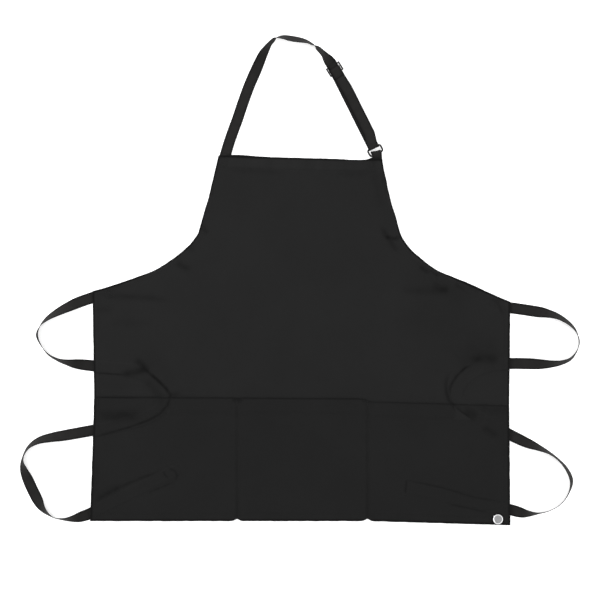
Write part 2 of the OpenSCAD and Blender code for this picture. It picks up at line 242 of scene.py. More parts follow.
def brushed(name, dark, light):
    """Bare metal with fine lines along X"""
    mat, tree, shader = material(name, (light,) * 3, 0.34, 0.5, 1.0)
    brush = grain(tree, coords(tree, "Object", scale=(1, 12, 1)), 260, 3)
    tint(tree, shader, brush, (dark, dark, dark * 1.02), (light, light, light * 1.01))
    bump(tree, shader, brush, 0.12, 0.00005)
    return mat


BADGE = brushed("badge_metal", 0.62, 0.86)
BADGE_FACE = brushed("badge_face", 0.20, 0.38)

# The floor gives a little light of its own, as the photograph shows no shadows
FLOOR, tree, shader = material("backdrop_paper", (0.93, 0.93, 0.93), 0.9, 0.1)
shader.inputs["Emission Color"].default_value = (1, 1, 1, 1)
shader.inputs["Emission Strength"].default_value = 0.4


# ---------- meshes ----------

def piece(name, verts, faces, mat, body, uvs=None, tone=None):
    """A smooth mesh object from points in millimetres"""
    mesh = bpy.data.meshes.new(name)
    mesh.from_pydata([(x * MM, y * MM, z * MM) for x, y, z in verts], [], faces)
    mesh.materials.append(mat)
    if uvs is not None:
        layer = mesh.uv_layers.new(name="UVMap")
        for loop in mesh.loops:
            layer.data[loop.index].uv = uvs[loop.vertex_index]
    if tone is not None:
        layer = mesh.attributes.new("tone", "FLOAT", "POINT")
        layer.data.foreach_set("value", np.asarray(tone, np.float32))
    mesh.shade_smooth()
    obj = linked(name, mesh)
    if body:
        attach(obj, body)
    return obj


def smooth(route, n):
    """A Catmull-Rom curve through a route, with n steps from each of its points to the next"""
    route = np.array(route, float)
    last = len(route) - 1
    out = []
    for i in range(last):
        a, b, c, d = (route[min(max(k, 0), last)] for k in range(i - 1, i + 3))
        for t in (j / n for j in range(n)):
            out.append(0.5 * (2 * b + (c - a) * t + (2 * a - 5 * b + 4 * c - d) * t ** 2
                              + (3 * b - a - 3 * c + d) * t ** 3))
    return np.array(out + [route[last]])


def tangents(points):
    """Unit vectors along a line of points"""
    points = np.asarray(points, float)
    t = np.gradient(points, axis=0)
    return t / np.linalg.norm(t, axis=1, keepdims=True)


def left_of(head):
    """The vectors to the left of flat headings"""
    return np.column_stack([-head[:, 1], head[:, 0]])


def swept_faces(n, k):
    """Faces of a closed tube of n rings with k points each"""
    faces = [
        (i * k + j, i * k + (j + 1) % k, (i + 1) * k + (j + 1) % k, (i + 1) * k + j)
        for i in range(n - 1)
        for j in range(k)
    ]
    return faces + [tuple(range(k - 1, -1, -1)), tuple((n - 1) * k + j for j in range(k))]


def circle(k):
    """k angles round a full turn"""
    return np.linspace(0, 2 * pi, k, endpoint=False)


# A webbing's section: share of the half width, share of the half thickness. Its woven edges are
# thicker than the middle. One quarter is given, and the others mirror it.
SECTION = [(1.0, 0.0), (0.992, 0.6), (0.965, 0.95), (0.93, 1.0), (0.88, 0.93), (0.8, 0.84),
           (0.45, 0.8), (0.0, 0.8)]
SECTION += [(-a, b) for a, b in SECTION[-2::-1]]
SECTION += [(a, -b) for a, b in SECTION[-2:0:-1]]
# The edges get painted shade too: how much, from which share of the half width, and over what share
EDGE_SHADE, EDGE_FROM, EDGE_OVER = 0.55, 0.74, 0.2
STRAP_WIDTH = 19
ROUTE_STEPS = 8


def ribbon(name, points, across, width, thick, body=None):
    """A strip of webbing swept along points, with its width along the across vectors"""
    points, across = np.asarray(points, float), np.asarray(across, float)
    along = tangents(points)
    normal = np.cross(along, across)
    normal /= np.linalg.norm(normal, axis=1, keepdims=True)
    across = np.cross(normal, along)
    run = np.concatenate([[0], np.cumsum(np.linalg.norm(np.diff(points, axis=0), axis=1))])
    verts, uvs, tone = [], [], []
    for p, u, v, s in zip(points, across, normal, run):
        for a, b in SECTION:
            verts.append(p + a * width / 2 * u + b * thick / 2 * v)
            uvs.append((a * width / 2 * MM, s * MM))
            # painted shade darkens the webbing's edges
            tone.append(-EDGE_SHADE * min(max((abs(a) - EDGE_FROM) / EDGE_OVER, 0), 1))
    faces = swept_faces(len(points), len(SECTION))
    return piece(name, verts, faces, WEB, body, uvs, tone)


def laid(route):
    """Centreline and across vectors of a strap on the floor: x, y, roll and perhaps lift"""
    route = smooth(route, ROUTE_STEPS)
    side = left_of(tangents(route[:, :2]))
    roll = np.radians(route[:, 2])
    z = STRAP_WIDTH / 2 * abs(np.sin(roll)) + 0.5 * abs(np.cos(roll)) + route[:, 3:].sum(1)
    across = np.column_stack([side * np.cos(roll)[:, None], np.sin(roll)])
    return np.column_stack([route[:, :2], z]), across


# ---------- ties ----------

# From the sewn root to the free end: x, y and roll in degrees
LEFT_TIE = [
    (-347, -27, 0), (-376, -37, 0), (-394, -45, 24), (-412, -54, 44),
    (-430, -65, 64), (-442, -77, 80), (-447.6, -92, 88), (-443, -107, 84),
    (-430, -125, 77), (-412, -135.6, 70), (-396, -140, 54), (-380, -142.8, 26),
    (-358, -145.4, 0), (-318, -149, 0), (-284, -154, 0), (-256, -168, 0),
    (-238, -192, 0), (-241, -216, 0), (-268, -235, 0), (-318, -249, 0),
    (-358, -256.6, 0), (-400, -264, 18), (-424, -267.6, 38), (-446, -273, 56),
    (-463, -284.6, 72), (-472, -303, 74), (-470.4, -322, 38), (-464, -341, 6),
    (-457, -357, 0), (-448, -374, 10), (-436, -391, 52), (-420, -403, 77),
    (-402, -406.4, 70), (-386, -405.4, 46), (-371, -402, 12), (-356, -396.4, 0),
    (-318, -377, 0), (-284, -360, 0), (-250, -343, 0), (-220, -328, 0),
]
RIGHT_TIE = [
    (350, -46, 0), (376, -49.6, 0), (401, -53.4, -6), (420, -56.6, -38),
    (438, -62, -56), (455, -72.4, -66), (467, -85, -74), (473, -101, -82),
    (471, -117, -78), (460, -133, -70), (444, -140.2, -62), (427, -142.6, -48),
    (410, -143, -28), (390, -142.4, -4), (364, -142, 0), (338, -143, 0),
    (312, -148, 0), (285, -163, 0), (267, -188, 0), (276, -212, 0),
    (308, -236, 0), (338, -253.6, 0), (363, -266.4, -3), (384, -276.4, -26),
    (403, -284, -56), (422, -293, -76), (438, -305, -79), (452, -321, -70),
    (460.4, -341, -64), (456, -361, -73), (443, -380, -76), (424, -391.4, -78),
    (404, -396.4, -74), (387, -397, -48), (372, -395, -12), (358, -391.4, 0),
    (300, -378, 0), (260, -370, 0), (222, -361.6, 0), (188, -354, 0),
]


def tie(name, route):
    """A waist tie on the body of the same name, and the folded end that lies on it"""
    points, across = laid(route)
    strap = ribbon(name + "_webbing", points, across, STRAP_WIDTH, 0.94, name)
    head = tangents(points)[-1]
    end = [points[-1] - head * s + np.array([0, 0, 0.76]) for s in np.linspace(10, 0.3, 8)]
    fold = ribbon(name + "_end_fold", end, [across[-1]] * len(end), 18.2, 0.56, name)
    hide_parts(name)
    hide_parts(name + "_end")


tie("tie_left", LEFT_TIE)
tie("tie_right", RIGHT_TIE)


# ---------- outline of the cloth ----------

def bezier(p, n):
    """n points of the cubic curve with the four control points p"""
    p = [np.array(q, float) for q in p]
    t = np.linspace(0, 1, n)[:, None]
    s = 1 - t
    return s ** 3 * p[0] + 3 * s * s * t * p[1] + 3 * s * t * t * p[2] + t ** 3 * p[3]


BIB_LEFT, BIB_RIGHT = (-139, 212), (138, 206)
KNEE_LEFT, KNEE_RIGHT = (-174, 80), (170, 79)
WAIST_LEFT, WAIST_RIGHT = (-354, -19), (357, -37)
MOUTH_LEFT, MOUTH_RIGHT = (-351, -199), (355, -214)
CORNER_LEFT, CORNER_RIGHT = (-358, -410), (357, -417)
DIVIDERS = (-108, 114)
BADGE_AT = (336.0, -407.0)
LEFT_ARMHOLE = np.vstack([[BIB_LEFT], bezier([KNEE_LEFT, (-200, 36), (-262, 6), WAIST_LEFT], 40)])
RIGHT_ARMHOLE = np.vstack([bezier([WAIST_RIGHT, (250, 8), (188, 34), KNEE_RIGHT], 40), [BIB_RIGHT]])
LEFT_SIDE = np.array([WAIST_LEFT, MOUTH_LEFT, CORNER_LEFT], float)
RIGHT_SIDE = np.array([CORNER_RIGHT, MOUTH_RIGHT, WAIST_RIGHT], float)
BOTTOM = np.array([CORNER_LEFT, (114, -410), CORNER_RIGHT], float)
TOP = np.array([BIB_RIGHT, (90, 205.5), BIB_LEFT], float)
MOUTH = np.array([MOUTH_RIGHT, (116, -207), (110, -202), MOUTH_LEFT], float)


def resample(path, spacing):
    """A path with evenly spaced points, about the given distance apart"""
    path = np.asarray(path, float)
    seg = np.linalg.norm(np.diff(path, axis=0), axis=1)
    run = np.concatenate([[0], np.cumsum(seg)])
    s = np.linspace(0, run[-1], max(2, int(round(run[-1] / spacing)) + 1))
    return np.column_stack([np.interp(s, run, path[:, i]) for i in range(path.shape[1])])


def wobble(x, y, scale, seed):
    """Smooth noise between about -1 and 1, whose features are about as large as scale"""
    return noise.noise(Vector((x / scale, y / scale, seed)))


def field(x, y, scale, seed):
    return np.array([wobble(a, b, scale, seed) for a, b in zip(x, y)])


# Where an edge bows in, or out if negative: x, y, how far and over what length
EDGE_BOWS = [
    (153, 142, 2.4, 38), (234, 19, 2.5, 24), (292, -8, -1.2, 22), (-158, 142, 1.4, 36),
    (-248, 17, 1.8, 26), (-104, 211, -2.2, 27), (96, 205.6, 1.1, 22), (127, 206, -4.6, 9),
]
NOTCH_DEPTH, NOTCH_REACH = 3.7, 5  # where a divider's seam pulls the bottom edge up


def edge_shape(path, seed, uneven=0.45, notched=False):
    """An edge of the cloth with the small unevenness of a sewn hem"""
    path = resample(path, 2.5)
    side = left_of(tangents(path))
    order = np.arange(len(path))
    size = uneven * np.clip(np.minimum(order, order[::-1]) / 4, 0, 1)
    shift = np.array([wobble(x, y, 17, seed) + 0.6 * wobble(x, y, 6, seed + 3) for x, y in path])
    out = path + side * (size * shift)[:, None]
    if notched:
        for x in DIVIDERS:
            out[:, 1] += NOTCH_DEPTH * np.exp(-((out[:, 0] - x) / NOTCH_REACH) ** 2)
    for x, y, bow, reach in EDGE_BOWS:
        near_bow = np.exp(-(np.hypot(out[:, 0] - x, out[:, 1] - y) / reach) ** 2)
        out += bow * side * near_bow[:, None]
    return out


# Each edge: its line, the seed of its unevenness, how wide its hem is, how far in the stitches
# run, how strongly it puckers, how much paler its hem is and how much painted pucker light and
# shade it gets
Edge = namedtuple("Edge", "line seed width stitch pucker rubbed patchy")
HEMS = {
    "armhole_left": Edge(LEFT_ARMHOLE, 10, 8, 6.5, 0.42, 0.05, 0.16),
    "armhole_right": Edge(RIGHT_ARMHOLE, 50, 8, 6.5, 0.45, 0.05, 0.18),
    "side_left": Edge(LEFT_SIDE, 20, 11, 9, 0.2, 0.01, 0.05),
    "side_right": Edge(RIGHT_SIDE, 30, 11, 9, 0.2, 0.01, 0.05),
    "bottom": Edge(BOTTOM, 40, 14, 12, 0.22, 0.0, 0.03),
    "top": Edge(TOP, 60, 22, 20, 0.16, 0.05, 0.12),
}
EDGES = {name: edge_shape(e.line, e.seed, notched=name == "bottom") for name, e in HEMS.items()}
mouth_line = edge_shape(MOUTH, 70, 0.5)


def near(path, x, y):
    """Distance from each point to a path, and how far along the path that is"""
    best = np.full(len(x), 1e9)
    place = np.zeros(len(x))
    run = 0.0
    for (ax, ay), (bx, by) in zip(path[:-1], path[1:]):
        length = hypot(bx - ax, by - ay)
        t = np.clip(((x - ax) * (bx - ax) + (y - ay) * (by - ay)) / length ** 2, 0, 1)
        d = np.hypot(x - ax - t * (bx - ax), y - ay - t * (by - ay))
        closer = d < best
        best[closer] = d[closer]
        place[closer] = (run + t * length)[closer]
        run += length
    return best, place


def ease(v):
    """0 below 0, 1 above 1, and smooth between"""
    v = np.clip(v, 0, 1)
    return v * v * (3 - 2 * v)


# The same edges without their unevenness, with fewer points, to measure distances from
ROUGH_EDGES = {name: resample(e.line, 12) for name, e in HEMS.items()}
ROUGH_MOUTH = resample(MOUTH, 12)
# Where the straps are sewn in behind the cloth: x, y and how far around the cloth is held still
ROOTS = [(-131, 203, 15), (130.5, 197, 13), (-335, -24, 22), (336, -42, 22)]
# Where the ties lie under the cloth: centreline, half width and height of the relief
RELIEFS = [
    ([(-360, -147), (-318, -150), (-284, -154), (-254, -168), (-233, -194), (-236, -217),
      (-266, -236), (-316, -249), (-360, -258)], 10.5, 1.15),
    ([(-372, -404), (-318, -377), (-284, -360), (-250, -343), (-214, -325)], 9.5, 0.9),
    ([(362, -142), (338, -143), (312, -148), (285, -163), (266, -188), (275, -213), (308, -236),
      (338, -253), (366, -268)], 10.5, 1.1),
    ([(364, -392), (300, -378), (260, -370), (222, -361.6), (184, -353)], 9.5, 0.9),
]
RELIEFS = [(smooth(points, 5), half, height) for points, half, height in RELIEFS]
# Folds pressed into the cloth: points, width, depth and how much painted shade darkens them
FOLDS = [
    ([(-352, -157.4), (-326, -159.6), (-300, -161)], 1.7, 0.7, 0.30),
    ([(-306, -160.6), (-286, -158), (-270, -154), (-262, -152)], 5.4, 0.7, 0.44),
    ([(-281, -134), (-270, -144), (-258, -156)], 5.6, 0.6, 0.4),
    ([(-266, -150), (-258, -157.6), (-243, -170.2), (-228, -185.5), (-221.6, -197.4)],
     2.7, 1.2, 0.62),
    ([(-268, -168), (-248, -184), (-238, -200), (-240, -216)], 8, 0.3, 0.16),
    ([(-346, -176), (-310, -178), (-280, -180)], 9, 0.2, 0.06),
    ([(-222, -190), (-222, -199), (-226, -213), (-239.6, -228), (-258, -238.4), (-278, -246)],
     2.2, 0.9, 0.46),
    ([(-262, -240), (-290, -250), (-318, -258), (-348, -266)], 1.8, 0.8, 0.46),
    ([(-344, -231), (-310, -232), (-272, -228)], 8, 0.8, 0.36),
    ([(-224, -196), (-204, -193)], 4, 0.4, 0.2),
    ([(-258, -120), (-236, -150), (-214, -180)], 15, 0.2, 0.06),
    ([(294, -144), (280, -150), (268, -161.6), (259, -174), (254.8, -184), (255, -196)],
     2.2, 1.1, 0.5),
    ([(252, -160), (247.6, -174), (248.4, -192), (253.4, -205), (263.4, -218), (278, -228.6),
      (296, -238)], 3, 0.9, 0.36),
    ([(286, -136), (312, -132.6), (338, -136)], 7, 0.9, 0.3),
    ([(256, -150), (296, -124), (346, -120)], 22, 0.2, 0.13),
    ([(176, -60), (250, -80), (340, -90)], 34, 0.2, 0.05),
    ([(276, -222), (302, -232)], 7, 0.7, 0.32),
    ([(300, -212), (326, -222), (350, -222)], 7, 0.4, 0.14),
    ([(310, -250), (336, -265)], 5.5, 0.6, 0.22),
    ([(-350, -378), (-330, -364), (-306, -352), (-270, -336.4), (-236, -324.6)], 2.8, 0.6, 0.24),
    ([(-350, -376), (-326, -360), (-302, -349)], 8, 0.4, 0.16),
    ([(-262, -364), (-238, -353), (-214, -343)], 1.6, 0.5, 0.26),
    ([(-234, -324), (-231, -331), (-224, -338)], 1.7, 0.5, 0.32),
    ([(-226, -319), (-213, -325), (-209.4, -334), (-214, -342)], 1.7, 0.6, 0.3),
    ([(180.6, -340), (178, -363.4)], 1.7, 0.7, 0.4),
    ([(180, -341), (212, -346.8), (242, -353.6), (298, -370), (352, -379)], 1.7, 0.6, 0.26),
    ([(250, -380.6), (286, -388), (322, -396)], 1.6, 0.6, 0.28),
    ([(137, 92), (148, 72), (166, 48)], 4, 0.9, 0.3),
    ([(144, 74), (158, 71), (173, 71.6)], 3, 0.8, 0.44),
    ([(203, 24), (219, 11)], 3.4, 0.6, 0.28),
    ([(220, 18), (236, 6)], 3, 0.5, 0.26),
    ([(168, -18), (256, -19)], 6.5, 0.8, 0.17),
    ([(224, -9), (254, -19)], 7.5, 0.7, 0.24),
    ([(176, 30), (230, -6), (300, -40)], 26, 0.3, 0.05),
    ([(262, -6), (280, -17)], 3.4, 0.4, 0.18),
    ([(326, -30), (338, -42), (346, -62)], 3, 0.6, 0.18),
    ([(-166, 92), (-158, 78)], 4, 0.6, 0.2),
    ([(-212, 30), (-188, 17)], 5, 0.7, 0.3),
    ([(-192, 58), (-180, 48)], 4, 0.5, 0.16),
    ([(-340, -27), (-280, -29), (-222, -34)], 5, 0.6, 0.2),
    ([(-330, -72), (-250, -76)], 8, 0.4, 0.07),
    ([(-350, -52), (-318, -50)], 6, 0.5, 0.1),
    ([(-120, 186), (-70, 187), (-30, 181)], 5, 0.3, 0.1),
    ([(60, 180), (118, 182)], 6, 0.3, 0.1),
    ([(124, 190), (130, 160), (140, 120)], 6, 0.4, 0.08),
    ([(-352, -199.6), (-276, -201)], 1.4, 0.5, 0.22),
]
FOLDS = [(np.array(points, float), *values) for points, *values in FOLDS]
FOLD_DEPTH, FOLD_SHADE = 2, 3  # places in a row of FOLDS


def folds(x, y, which):
    """Sum over the folds of their depth or their painted shade, uneven and fading towards their
    ends
    """
    total = np.zeros(len(x))
    for fold in FOLDS:
        d, s = near(fold[0], x, y)
        length = np.linalg.norm(np.diff(fold[0], axis=0), axis=1).sum()
        ends = ease(np.minimum(s, length - s) / (length * 0.3) + 0.2)
        uneven = 0.75 + 0.35 * field(x, y, 11, 5.0)
        total += fold[which] * np.exp(-(d / fold[1]) ** 2) * ends * uneven
    return total


def relief(x, y):
    """How far the ties below lift the cloth"""
    z = np.zeros(len(x))
    for points, half, height in RELIEFS:
        z = np.maximum(z, height * ease((half + 1.4 - near(points, x, y)[0]) / 2.8))
    return z


CLOTH_HALF = 0.35  # half the thickness of the cloth
BODY_LEVEL = 3.12  # the body cloth's middle above the floor, before swell, hems, relief and folds
SWELL = ((0.45, 130, 1.0), (0.22, 48, 2.0), (0.07, 16, 3.0))  # height, size and seed


def body_mid(x, y):
    """Height of the middle of the body cloth"""
    z = np.full(len(x), BODY_LEVEL)
    for height, size, seed in SWELL:
        z += height * field(x, y, size, seed)
    calm = np.ones(len(x))
    for cx, cy, r in ROOTS:
        calm *= ease((np.hypot(x - cx, y - cy) - r) / 14)
    for name, path in ROUGH_EDGES.items():
        edge = HEMS[name]
        d, s = near(path, x, y)
        past = d - edge.stitch
        pull = np.array([wobble(q, 1.3, 6.5, 7.0) + 0.7 * wobble(q, 13.5, 15, 9.0) for q in s])
        fade = np.where(past < 0, 0.65 + 0.35 * d / edge.stitch, np.exp(-past / 9.0))
        z += edge.pucker * calm * pull * fade
        groove = 0.38 * np.exp(-(past / 1.1) ** 2) * (0.6 + 0.4 * calm)
        z += 0.28 * ease((edge.width + 1.5 - d) / 2.5) - groove
    # clear of the sewn straps at the roots, and of the floor and hems elsewhere
    return np.maximum(z + relief(x, y) - folds(x, y, FOLD_DEPTH), 2.5 - 0.75 * calm)


def body_tone(x, y):
    """Paler hems and painted light and shade on the body cloth: puckers, stitch grooves, edges,
    folds
    """
    tone = -folds(x, y, FOLD_SHADE)
    for name, path in ROUGH_EDGES.items():
        edge = HEMS[name]
        d, s = near(path, x, y)
        pull = np.array([0.5 * wobble(q, 3.1, 11, 13.0) + wobble(q, 7.7, 34, 14.0) for q in s])
        # a paler hem band, and painted light and shade where the hem puckers
        tone += ease((edge.width + 0.6 - d) / 1.4) * (edge.rubbed + edge.patchy * pull)
        # painted shade in the stitch groove and on the rolled edge
        tone -= 0.04 * np.exp(-((d - edge.stitch) / 1.2) ** 2) + 0.6 * ease((4.2 - d) / 3.0)
    return tone


def body_top(x, y):
    return body_mid(x, y) + CLOTH_HALF


def divider_distance(x):
    return np.min([abs(x - at) for at in DIVIDERS], axis=0)


MOUTH_HEM = 24  # from the pocket's mouth to its lower row of stitches


def pocket_mid(x, y):
    """Height of the middle of the pocket's cloth, which is held down at its seams"""
    d_mouth, s_mouth = near(ROUGH_MOUTH, x, y)
    d_left, d_right, d_bottom = (
        near(ROUGH_EDGES[name], x, y)[0] for name in ("side_left", "side_right", "bottom"))
    d_side = np.minimum(d_left, d_right)
    d_div = divider_distance(x)
    d_seam = np.minimum(np.minimum(np.maximum(d_side - 9, 0), np.maximum(d_bottom - 12, 0) * 1.2),
                        np.maximum(d_div - 2.5, 0))
    rise = 1 - np.exp(-d_seam / 16)
    z = body_top(x, y) * 0.75 + 3.45 * 0.25 + 0.43
    z += 0.5 * ease((28 - d_mouth) / 3)
    z += rise * (0.9 + 0.5 * field(x, y, 90, 21.0) + 0.25 * field(x, y, 30, 22.0))
    z += 0.35 * np.exp(-((d_div - 4.2) / 1.6) ** 2)
    pull = np.array([noise.noise(Vector((q / 7, 0.4, 31.0))) for q in s_mouth])
    z += 0.22 * pull * np.exp(-abs(d_mouth - MOUTH_HEM) / 6) + 0.18 * pull * np.exp(-d_mouth / 8)
    for row in (2.5, MOUTH_HEM):
        z -= 0.25 * np.exp(-((d_mouth - row) / 1.1) ** 2)
    return z


def pocket_tone(x, y):
    """The same for the pocket's cloth, with painted shade at its dividers, its mouth and round the
    badge
    """
    d_mouth = near(ROUGH_MOUTH, x, y)[0]
    # painted shade along the mouth hem's lower row of stitches
    tone = body_tone(x, y) - 0.03 * np.exp(-((d_mouth - MOUTH_HEM) / 1.2) ** 2)
    # painted shade along the divider seams, darker towards the bottom
    downward = 0.4 + 0.6 * (-200 - y) / 210 + 0.5 * field(x, y, 24, 33.0)
    tone -= 0.13 * np.exp(-(divider_distance(x) / 3.2) ** 2) * downward
    # a painted shadow round the badge
    from_badge = np.hypot(x - BADGE_AT[0], y - BADGE_AT[1])
    tone -= 0.45 * np.exp(-((from_badge - 9.6) / 1.3) ** 2)
    # painted shadow in the gap under the pocket's mouth
    return tone - np.where(x < 113, 0.42, 0.24) * ease((2.0 - d_mouth) / 1.6)


GRID = 3.7


def filled(outline, rings, keep):
    """Triangles over an outline, with extra points on rings and on a grid where keep says so"""
    lo, hi = outline.min(0), outline.max(0)
    columns, rows = (np.arange(lo[i], hi[i], GRID) for i in (0, 1))
    grid = np.stack(np.meshgrid(columns, rows), -1).reshape(-1, 2)
    points = [Vector(p) for p in np.vstack([outline, grid[keep(grid)]] + rings)]
    out = delaunay_2d_cdt(points, [], [list(range(len(outline)))], 1, 0.01)
    return np.array([(v.x, v.y) for v in out[0]]), [tuple(f) for f in out[2]]


def inward(path, d, gap=2.8):
    """A path moved by d towards its left, which is inward for the cloth's edges"""
    path = resample(path, gap)
    return path + d * left_of(tangents(path))


def outline_distance(p, paths):
    return np.min([near(path, p[:, 0], p[:, 1])[0] for path in paths], axis=0)


def inside(poly, p):
    """Which points lie within a polygon"""
    x, y = p[:, 0], p[:, 1]
    hit = np.zeros(len(p), bool)
    for (ax, ay), (bx, by) in zip(poly, np.roll(poly, -1, axis=0)):
        if ay != by:
            hit ^= ((ay > y) != (by > y)) & (x < (bx - ax) * (y - ay) / (by - ay) + ax)
    return hit


def sheet_mesh(name, xy, tris, mid, shade, mat):
    """A closed sheet of cloth round a middle surface"""
    z = mid(xy[:, 0], xy[:, 1])
    tone = np.tile(shade(xy[:, 0], xy[:, 1]), 2)
    n = len(xy)
    verts = [(x, y, h + side) for side in (CLOTH_HALF, -CLOTH_HALF) for (x, y), h in zip(xy, z)]
    edges = dict.fromkeys((a, b) for f in tris for a, b in zip(f, f[1:] + f[:1]))
    rim = [(a, b) for a, b in edges if (b, a) not in edges]
    faces = list(tris) + [tuple(v + n for v in reversed(f)) for f in tris]
    faces += [(b, a, a + n, b + n) for a, b in rim]
    return piece(name, verts, faces, mat, "apron", tone=tone)


ORDER = ("armhole_left", "side_left", "bottom", "side_right", "armhole_right", "top")
outline = np.vstack([EDGES[name][:-1] for name in ORDER])
# How far inside the edges the mesh has rows of points, which its hems and seams need
BODY_ROWS = (0.7, 2.0, 3.6, 5.2, 6.5, 8.0, 9.4, 11.0, 12.6, 15.5, 18.0, 20.0, 22.0, 24.5)
POCKET_ROWS = (0.7, 2.5, 5, 7.5, 9, 10.5, 12, 13.5, 16)
MOUTH_ROWS = (1.2, 2.5, 4, 6, 9, 13, 18, 22, 24, 26, 28.5, 31)
DIVIDER_ROWS = (-9, -6.5, -5, -3.8, -2.5, -1.2, 0, 1.2, 2.5, 3.8, 5, 6.5, 9)
edge_paths = list(ROUGH_EDGES.values())


def ring_points(paths, distances, clear, poly):
    """Rows of points inside a polygon, along its edges, that keep off the other edges"""
    rings = []
    for path in paths:
        for d in distances:
            p = inward(path, d)
            p = p[outline_distance(p, clear) > d - 0.35]
            rings.append(p[inside(poly, p)])
    return rings


def fold_points(poly, clear):
    """Points across each narrow fold, so that it is crisp"""
    rows = [inward(points, share * width, 2.4) for points, width, *_ in FOLDS if width < 4
            for share in (-1.6, -1, -0.5, 0, 0.5, 1, 1.6)]
    rows += [inward(points, side * (half + shift), 3) for points, half, _ in RELIEFS
             for side in (-1, 1) for shift in (-1.6, -0.6, 0.4, 1.5)]
    rows = np.vstack(rows)
    return rows[inside(poly, rows) & (outline_distance(rows, clear) > 2)]


rings = ring_points([HEMS[name].line for name in ORDER], BODY_ROWS, edge_paths, outline)
body_xy, body_tris = filled(
    outline, rings + [fold_points(outline, edge_paths)],
    lambda p: inside(outline, p) & (outline_distance(p, edge_paths) > 26))
body_cloth = sheet_mesh("body_cloth", body_xy, body_tris, body_mid, body_tone, CLOTH)
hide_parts("body_panel")


def pocket_top(x, y):
    return pocket_mid(x, y) + CLOTH_HALF


def below_mouth(path):
    return np.array([y < (-199.5 if x < 0 else -214.5) for x, y in path])


# painted shade round a hem's section, darkest on its rolled edge
HEM_ROLL_SHADE = [-0.2, -0.32, -0.4, -0.4, -0.4, -0.4, -0.2] + [0] * 7  # the tone round a hem's section


def hem(name, path, width, on_pocket=False):
    """The cloth's edge rolled under: a section swept along a path, from the height of the cloth's
    top down to the hem's lowest face, and back to the top of its folded layer"""
    side = left_of(tangents(path))
    inner = (path + 1.2 * side).T
    if on_pocket:
        top = pocket_top(*inner)
        low = top - 1.22
        back = low + 0.5
    else:
        body = body_top(*inner)
        top = np.where(below_mouth(path), pocket_top(*inner), body)
        low = body - 1.44
        back = low + 0.7
    verts = []
    k = len(HEM_ROLL_SHADE)
    for p, s, t, b, m in zip(path, side, top, low, back):
        h = (t - b) / 2
        mid_z = (t + b) / 2
        ring = [
            (1.1, t + 0.02), (0.45, t + 0.02), (-0.05, mid_z + 0.8 * h), (-0.32, mid_z + 0.35 * h),
            (-0.32, mid_z - 0.35 * h), (-0.05, mid_z - 0.8 * h), (0.45, b), (width * 0.5, b),
            (width - 0.5, b + 0.03), (width, (b + m) / 2), (width - 0.5, m - 0.02),
            (width * 0.5, m), (1.9, m), (1.6, (m + t) / 2),
        ]
        verts += [(*(p + d * s), z) for d, z in ring]
    n = len(path)
    faces = [
        (i * k + j, (i + 1) * k + j, (i + 1) * k + (j + 1) % k, i * k + (j + 1) % k)
        for i in range(n - 1)
        for j in range(k)
    ]
    faces += [tuple(range(k)), tuple((n - 1) * k + j for j in range(k - 1, -1, -1))]
    return piece(name, verts, faces, HEM, "apron", tone=HEM_ROLL_SHADE * n)


for edge in ("top", "armhole_left", "armhole_right", "side_left", "side_right", "bottom"):
    node_name = "_hem_".join(edge.split("_")) if "_" in edge else edge + "_hem"
    obj = hem(node_name + "_fold", EDGES[edge], HEMS[edge].width)
    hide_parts(node_name)

pocket_outline = np.vstack([
    mouth_line[:-1],
    [p for p in EDGES["side_left"] if p[1] < -200.5],
    EDGES["bottom"][1:],
    [p for p in EDGES["side_right"] if p[1] < -215.5][1:],
])
pocket_edges = [ROUGH_MOUTH] + [ROUGH_EDGES[name] for name in ("side_left", "side_right", "bottom")]
divider_points = [
    np.column_stack([np.full(66, x + d), np.linspace(-406, -211, 66)])
    for x in DIVIDERS
    for d in DIVIDER_ROWS
]
divider_points = [
    p[inside(pocket_outline, p) & (outline_distance(p, pocket_edges) > 2.2)] for p in divider_points
]


def off_dividers(p):
    return divider_distance(p[:, 0]) > 10.5


def on_pocket_grid(p):
    clear = off_dividers(p) & (outline_distance(p, pocket_edges[1:]) > 18)
    return inside(pocket_outline, p) & clear & (outline_distance(p, pocket_edges[:1]) > 33)


rings = ring_points([LEFT_SIDE, BOTTOM, RIGHT_SIDE], POCKET_ROWS, pocket_edges, pocket_outline)
rings += ring_points([MOUTH], MOUTH_ROWS, pocket_edges, pocket_outline)
rings = [p[off_dividers(p)] for p in rings]
rings += divider_points + [fold_points(pocket_outline, pocket_edges)]
pocket_xy, pocket_tris = filled(pocket_outline, rings, on_pocket_grid)
pocket_cloth = sheet_mesh("pocket_cloth", pocket_xy, pocket_tris, pocket_mid, pocket_tone, POCKET)
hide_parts("pocket_panel")
mouth_hem = hem("pocket_mouth_hem_fold", mouth_line, 26, on_pocket=True)
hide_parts("pocket_mouth_hem")


# ---------- stitches ----------

# One stitch: share of its length and of its radius at each ring
STITCH = [(-0.5, 0.15), (-0.36, 0.8), (0.0, 1.0), (0.36, 0.8), (0.5, 0.15)]
STITCH_SIDES, STITCH_WIDTH, STITCH_SKEW = 8, 0.62, 0.1
STITCH_FACES = swept_faces(len(STITCH), STITCH_SIDES)


